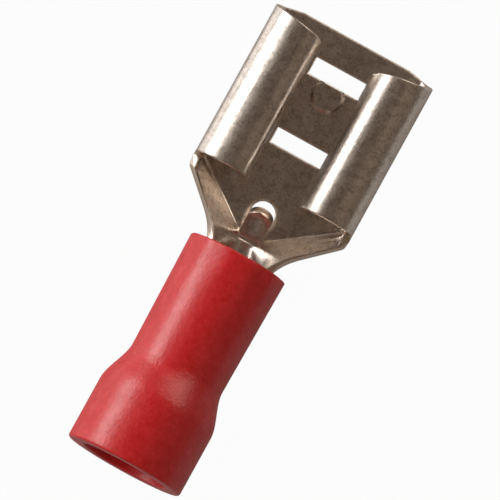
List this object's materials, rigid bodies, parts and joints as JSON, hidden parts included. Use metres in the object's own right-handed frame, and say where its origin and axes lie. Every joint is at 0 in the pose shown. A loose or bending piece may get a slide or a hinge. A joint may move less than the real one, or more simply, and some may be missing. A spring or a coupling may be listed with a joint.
{
  "type": "female spade terminal",
  "caption": "Folded female quick-disconnect contact with rolled sides, locking dimple, floor windows and wire stop, crimped at its barrel into a flared red insulating sleeve.",
  "frame": {"origin": "centre of the sleeve's wire mouth, in the plane of its end face", "axes": "+Y along the barrel from the wire mouth to the tab's way in, +Z to the side on which the rolls stand, +X across the receptacle"},
  "size_m": [0.0076, 0.0208, 0.0054],
  "materials": {
    "tin_plate": "dull tin plating on brass",
    "red_vinyl": "soft satin vinyl"
  },
  "bodies": {
    "root": {"contact": "tin_plate", "insulating_sleeve": "red_vinyl"}
  },
  "joints": []
}
